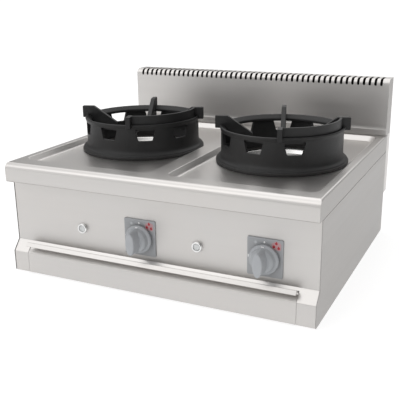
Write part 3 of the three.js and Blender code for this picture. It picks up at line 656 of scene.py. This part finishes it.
def flue_finish(c, n):
    if abs(n.x) > 0.9 and abs(c.x) > WIDTH / 2 - 0.8:
        return 1
    # faces deep inside the cover, the slot walls among them, get the painted shade
    if flue_depth(c.y, c.z) > 1.2:
        return 2
    return 3 if n.z > 0.25 and c.z > FLUE_Z - FLUE_R else 0


piece("flue_cover_sheet", flue, "casing", M_FLUE, "flue_cover", 30, (M_SHADED_SIDE, M_PAINTED_SHADE, M_TOP), flue_finish)

# ------------------------------------------------------------------ drip tray: rolled front with its grip, and the tray
grip = [(SKIRT_Y, 1), (SKIRT_Y, 30), (SKIRT_Y, 51.5)] + smooth_line([(SKIRT_Y, 51.5), (6.0, 54.2), (14.5, 62.2), (17.3, 65.6), (17.6, 69.4), (15.4, 73.2), (11, 76.3)], 5)[1:]
back = offset_line(grip, SHEET)
flap = fillet([(11, 76.3), (6.2, 79.0), (-0.2, 71.2), (-1.5, 72.1), (4.6, 81.0), (6.3, 80.9), (11.8, 77.6)], [0, 0.4, 0.3, 0.5, 1.0, 0.6, 0], 4, closed=False)
outline = grip + flap[1:-1] + back[::-1]
piece("tray_front_sheet", along_x(outline, -TRAY_HALF, TRAY_HALF), "tray", M_FRONT, "tray_front", 28, (M_TOP,), lambda c, n: int(c.z > 60.0 and abs(n.x) < 0.9))
piece("drip_tray_pan", bevelled(from_node("drip_tray"), 0.4, 2, 40), "tray", M_TRAY, "drip_tray")

# ------------------------------------------------------------------ wok rings
def wok_ring(windows):
    bore, wall, rim = 145.6, 152.6, 89.0
    # flange with a fine groove over its lip, flared foot, wall
    prof = [(bore, 1.3), (bore + 0.9, 0.3), (164.3, 0.3), (165.5, 0.8), (166.0, 1.9), (166.0, 5.4), (165.8, 6.5), (165.2, 7.3), (164.3, 7.7), (163.6, 8.1),
            (163.3, 8.8), (163.2, 9.6), (162.7, 10.4), (161.4, 11.5), (159.6, 12.6), (157.8, 13.8), (156.4, 15.1), (155.1, 16.9), (154.1, 19.1), (153.4, 21.8),
            (152.9, 25.0), (wall, 29.0), (wall, rim - 12.5)]
    # rolled rim, sloping seat, short lip under it
    prof += [(152.9, rim - 10.6), (153.8, rim - 8.3), (154.8, rim - 5.9), (155.3, rim - 3.6), (155.2, rim - 1.8), (154.5, rim - 0.6), (153.3, rim), (151.4, rim),
             (150.4, rim - 0.4), (141.4, rim - 7.7), (140.1, rim - 8.9), (139.3, rim - 10.1), (139.0, rim - 11.3), (139.0, rim - 14.2), (139.4, rim - 15.2),
             (140.3, rim - 15.8), (bore - 0.6, rim - 17.5), (bore, rim - 18.4)]
    r = revolve(prof, 144, True)
    a0, a1 = -90 + 17, 17
    band = arc(0, 0, 146.5, a0, a1, 45) + arc(0, 0, 140.0, a1, a0, 45)
    r = boolean(r, bevelled(along_z(band, rim - 12, 111), 1.1, 2, 50), "UNION")
    ao = fillet([(168, 111.5), (136, 111.5), (74, 68.5), (72, 62), (78, 59), (bore + 2, 38), (wall - 2, 62), (wall - 2, 80), (168, 80)],
                [2.2, 6, 2.5, 2.5, 5, 0, 0, 0, 2.2], 4)
    for i in range(4):
        arm = bevelled(prism(ao, -6, 6, lambda u, v, w: (u, w, v)), 1.3, 2, 50)
        r = boolean(r, turned(arm, Matrix.Rotation(math.radians(17 + 90 * i), 4, "Z")), "UNION")
    for deg in windows:
        w = prism(fillet([(-18, 47), (18, 47), (26.2, 77.5), (-26.2, 77.5)], 2.4, 4), 142.6, 175, lambda u, v, q: (q, u, v))
        r = boolean(r, turned(w, Matrix.Rotation(math.radians(deg), 4, "Z")))
    for i in range(4):
        g = prism([(bore - 4, 34), (wall - 0.3, 34), (wall - 0.3, 80.5), (bore - 4, 80.5)], -6, 6, lambda u, v, w: (u, w, v))
        r = boolean(r, turned(g, Matrix.Rotation(math.radians(17 + 90 * i), 4, "Z")), "UNION")
    return r


WINDOWS = {"left": (-134, -95.5, -57.8, -20, 21, 67, 108, 149, 188), "right": (-133.6, -97, -59.5, 67, 108, 149, 188)}
for n, s in SIDES:
    piece(f"wok_ring_casting_{n}", moved(wok_ring(WINDOWS[n]), s * BX, BY, FLOOR_Z + 0.05), f"ring_{n}", M_IRON, f"wok_ring_{n}", 30)

# ------------------------------------------------------------------ burners
for n, s in SIDES:
    bx = s * BX
    line = fillet([(126, FLOOR_Z + 0.9), (115.0, FLOOR_Z + 0.9), (109.5, FLOOR_Z - 9), (87, 240.9), (85.5, 241.6), (85.4, 250)], [0, 4, 14, 1.5, 1.2, 0], 6, closed=False)
    bowl = ribbon(line, 1.2)
    piece(f"spill_bowl_sheet_{n}", moved(revolve(bowl, 128, True), bx, BY, 0), "casing", M_BRIGHT, f"spill_bowl_{n}", 40)

    hp = fillet([(14, 244.3), (59, 244.3), (59, 250), (55, 258), (38, 260), (36, 266), (22, 268), (14, 264)], [0, 0.8, 1.2, 1.6, 1.5, 1.2, 1.4, 1.5], 3)
    head = revolve(hp, 96, True)
    ports = []
    for i in range(14):
        ports.append(turned(block(47, 62, -1.4, 1.4, 252, 262), Matrix.Rotation(2 * math.pi * i / 14, 4, "Z")))
    for i in range(28):
        a = 2 * math.pi * (i + 0.5) / 28
        ports.append(moved(revolve([(0, 256), (1.5, 256), (1.5, 262), (0, 262)], 10), 43.5 * math.cos(a), 43.5 * math.sin(a), 0))
    for i in range(16):
        a = 2 * math.pi * (i + 0.5) / 16
        ports.append(moved(revolve([(0, 263.5), (1.3, 263.5), (1.3, 270), (0, 270)], 10), 29 * math.cos(a), 29 * math.sin(a), 0))
    head = boolean(head, together(*ports))
    piece(f"burner_crown_{n}", moved(head, bx, BY, 0), "casing", M_CAST, f"burner_head_{n}", 30)
    piece(f"burner_casting_{n}", bevelled(from_node(f"burner_body_{n}"), 0.6, 2, 45), "casing", M_CAST, f"burner_body_{n}", 40)

# ------------------------------------------------------------------ knobs, plates and spark buttons
def superoval(w, h, z, n=40, p=2.6, tip=0.45):
    out = []
    for k in range(n):
        a = 2 * math.pi * k / n
        c, s = math.cos(a), math.sin(a)
        y = h * math.copysign(abs(s) ** (2 / p), s)
        x = w * math.copysign(abs(c) ** (2 / 2.2), c)
        x *= 1 - (1 - tip) * (abs(y) / h) ** 2.4 * 0.55
        out.append((x, y, z))
    return out


for n, _ in SIDES:
    kx = KX[n]
    # scale plate with a bevelled rim
    plate = along_y(round_rect(kx - 41, kx + 41, 92, 180, 3, 6), PANEL_Y - 3, PANEL_Y - 0.1)
    plate = boolean(plate, moved(to_y(revolve([(0, -10), (8, -10), (8, 10), (0, 10)], 40)), kx, PANEL_Y - 2, KZ))
    piece(f"knob_plate_moulding_{n}", bevelled(plate, 0.8, 3, 50), "casing", M_PLATE, f"knob_plate_{n}", 30)

    skirt = fillet([(0, 5.4), (34, 5.4), (34, 10.0), (31.2, 12.2), (28.8, 13.2), (27.4, 17), (25.8, 22), (21, 26.4), (0, 28.6)], [0, 0.8, 1.8, 1.6, 2.0, 3, 4, 5, 0], 4, closed=False)
    body = revolve(skirt, 96)
    rings = []
    for z, w, h in ((12, 22, 28.2), (15, 19.4, 28.5), (19, 16.8, 28.8), (24, 14.8, 28.8), (30, 13.5, 28.6), (37, 12.7, 28.2), (43, 12.1, 27.8), (46.5, 11.6, 27.4), (48.2, 10.6, 26.6), (48.9, 9.0, 25.2), (49.0, 6.2, 22.6)):
        rings.append(superoval(w, h, z))
    body = boolean(body, loft(rings), "UNION")
    body = boolean(body, revolve([(9, 3), (30.5, 3), (30.5, 8), (9, 8)], 64, True))
    body = boolean(body, revolve([(0, -1), (4.2, -1), (4.2, 19), (0, 19)], 24))
    piece(f"knob_moulding_{n}", moved(to_front(body), kx, PANEL_Y - 3, KZ), f"turn_{n}", M_GREY, f"knob_{n}", 34)
    # white pointer mark on the skirt's top
    mark = moved(to_front(bevelled(block(-4.6, 2.2, 28.2, 31.4, 10.2, 13.3), 0.5, 2, 40)), kx, PANEL_Y - 3, KZ)
    piece(f"knob_pointer_{n}", mark, f"turn_{n}", M_MARK)

    # printed scale: off dot, spark star, full-flame triangle, low flame and the red flame cluster
    yp = PANEL_Y - 3
    def flat(pts, t=0.12):
        return along_y(pts, yp - t, yp + 0.3)
    dot = flat(arc(kx - 1.6, 171.0, 2.3, 0, 345, 20))
    tri = flat(fillet([(kx - 39.5, 131.0), (kx - 34.2, 134.8), (kx - 39.5, 139.2)], 0.5, 2))
    piece(f"plate_marks_{n}", together(dot, tri), "casing", M_MARK)
    star = []
    for k in range(16):
        rr = 5.2 if k % 2 == 0 else 2.2
        a = 2 * math.pi * k / 16
        star.append((kx - 21.5 + rr * math.cos(a), 168.4 + rr * math.sin(a)))
    piece(f"plate_spark_{n}", flat(star), "casing", M_PALE)
    halo = flat(fillet([(kx + 14.5, 157.5), (kx + 36.5, 155.5), (kx + 36.2, 172.5), (kx + 25, 176.6), (kx + 14.8, 170.5)], 5, 5), 0.08)
    piece(f"plate_halo_{n}", halo, "casing", M_PINK)
    drops = []
    for cx, cz in ((kx + 25.4, 171.2), (kx + 20.0, 163.4), (kx + 30.8, 161.2)):
        drops.append(flat([(cx, cz + 5.0)] + arc(cx, cz, 2.9, 150, 390, 14), 0.16))
    piece(f"plate_flames_{n}", together(*drops), "casing", M_RED)

    ix = IX[n]
    col = fillet([(8.3, -5.6), (9.0, -6.9), (11.6, -7.0), (12.8, -5.6), (12.8, -0.1), (10, -0.1), (10, 16), (8.3, 16)], [0.5, 0.8, 1.2, 0.9, 0.2, 0, 0, 0], 4)
    piece(f"spark_collar_{n}", moved(to_y(revolve(col, 64, True)), ix, PANEL_Y, IZ), "casing", M_CHROME, f"igniter_collar_{n}", 40)
    cap = [(0, -5.0), (4.4, -5.2), (6.0, -6.0), (7.0, -5.9), (8, -5.0), (8, 14), (0, 14)]
    piece(f"spark_cap_{n}", moved(to_y(revolve(fillet(cap, [0, 3, 0.8, 0.6, 0.8, 0.4, 0], 4, closed=False), 64)), ix, PANEL_Y, IZ), f"spark_button_{n}", M_BUTTON, f"igniter_button_{n}", 40)

# ------------------------------------------------------------------ rear screws with a cross recess
for zn, z in (("upper", 98.0), ("lower", 20.0)):
    for n, s in SIDES:
        head = revolve(fillet([(0, 0.1), (3.9, 0.1), (3.9, 1.3), (2.7, 2.4), (0, 2.9)], [0, 0, 0.5, 1.2, 0], 3, closed=False), 32)
        head = boolean(head, together(block(-2, 2, -0.35, 0.35, 1.7, 4)))
        head = boolean(head, together(block(-0.35, 0.35, -2, 2, 1.7, 4)))
        piece(f"rear_screw_head_{zn}_{n}", moved(to_y(head), s * 386, BODY_D, z), "casing", M_ZINC, f"rear_screw_{zn}_{n}", 30)

# ------------------------------------------------------------------ small parts that keep their CAD shape
KEEP = {"gas_manifold": M_ZINC, "gas_inlet": M_ZINC}
for n, _ in SIDES:
    KEEP.update({f"gas_tap_{n}": M_BRASS, f"gas_jet_{n}": M_BRASS, f"tap_spindle_{n}": M_BRASS, f"supply_tube_{n}": M_ALU, f"pilot_burner_{n}": M_ALU,
                 f"flame_sensor_{n}": M_ZINC, f"push_collar_{n}": M_ZINC, f"igniter_body_{n}": M_BLACK, f"spark_electrode_{n}": M_WHITE})
    for f in ("front", "rear"):
        KEEP[f"foot_pad_{f}_{n}"] = M_RUBBER
for name, m in KEEP.items():
    ob = NODES[name]
    ob.data.materials.clear()
    ob.data.materials.append(m)

# ------------------------------------------------------------------ floor, world and lights
bm = bmesh.new()
bmesh.ops.create_grid(bm, x_segments=8, y_segments=8, size=45.0)
me = bpy.data.meshes.new("floor")
bm.to_mesh(me)
bm.free()
floor = bpy.data.objects.new("floor", me)
floor.location = (0, 0, -0.0004)
COLL.objects.link(floor)
fm, nt, bs = new_mat("pale_floor")
bs.inputs["Base Color"].default_value = (0.36, 0.36, 0.36, 1)
bs.inputs["Roughness"].default_value = 0.95
bs.inputs["Specular IOR Level"].default_value = 0.0
bs.inputs["Emission Color"].default_value = (1, 1, 1, 1)
bs.inputs["Emission Strength"].default_value = 0.79
me.materials.append(fm)

world = bpy.data.worlds.new("studio")
SCENE.world = world
world.use_nodes = True
nt = world.node_tree
nt.nodes.clear()
wout = nt.nodes.new("ShaderNodeOutputWorld")
bg = nt.nodes.new("ShaderNodeBackground")
tc = nt.nodes.new("ShaderNodeTexCoord")


def math_node(op, a, b=None, clamp=False):
    m = nt.nodes.new("ShaderNodeMath")
    m.operation = op
    m.use_clamp = clamp
    for i, v in enumerate((a, b)):
        if v is None:
            continue
        if isinstance(v, (int, float)):
            m.inputs[i].default_value = v
        else:
            nt.links.new(v, m.inputs[i])
    return m.outputs[0]


# soft boxes: the direction each one lies in, how tight it is, and its strength, over a faint even light
BOXES = [
    ((0.0, 0.0, 1.0), 4, 0.72),
    ((0.0, 1.0, 0.27), 8, 0.64),
    ((-0.71, -0.71, 0.27), 8, 0.95),
    ((0.0, 0.57, 0.82), 8, 0.98),
    ((-0.57, 0.0, 0.82), 8, 0.35),
    ((0.0, -0.57, 0.82), 8, 0.64),
    ((-0.55, -0.52, 0.66), 24, 0.94),
    ((-0.26, -0.52, 0.81), 24, 0.39),
    ((-0.2, 0.93, 0.3), 24, 0.15),
    ((-0.5, 0.45, 0.74), 12, 0.66),
]
glow = 0.101
for aim, tight, power in BOXES:
    dot = nt.nodes.new("ShaderNodeVectorMath")
    dot.operation = "DOT_PRODUCT"
    dot.inputs[1].default_value = Vector(aim).normalized()
    nt.links.new(tc.outputs["Generated"], dot.inputs[0])
    lobe = math_node("POWER", math_node("MAXIMUM", dot.outputs["Value"], 0.0), float(tight))
    glow = math_node("ADD", glow, math_node("MULTIPLY", lobe, power))
nt.links.new(glow, bg.inputs["Strength"])
bg.inputs["Color"].default_value = (1.0, 0.995, 0.99, 1)
nt.links.new(bg.outputs[0], wout.inputs[0])

SCENE.view_settings.view_transform = "Standard"
SCENE.view_settings.look = "None"
SCENE.view_settings.exposure = 0.0
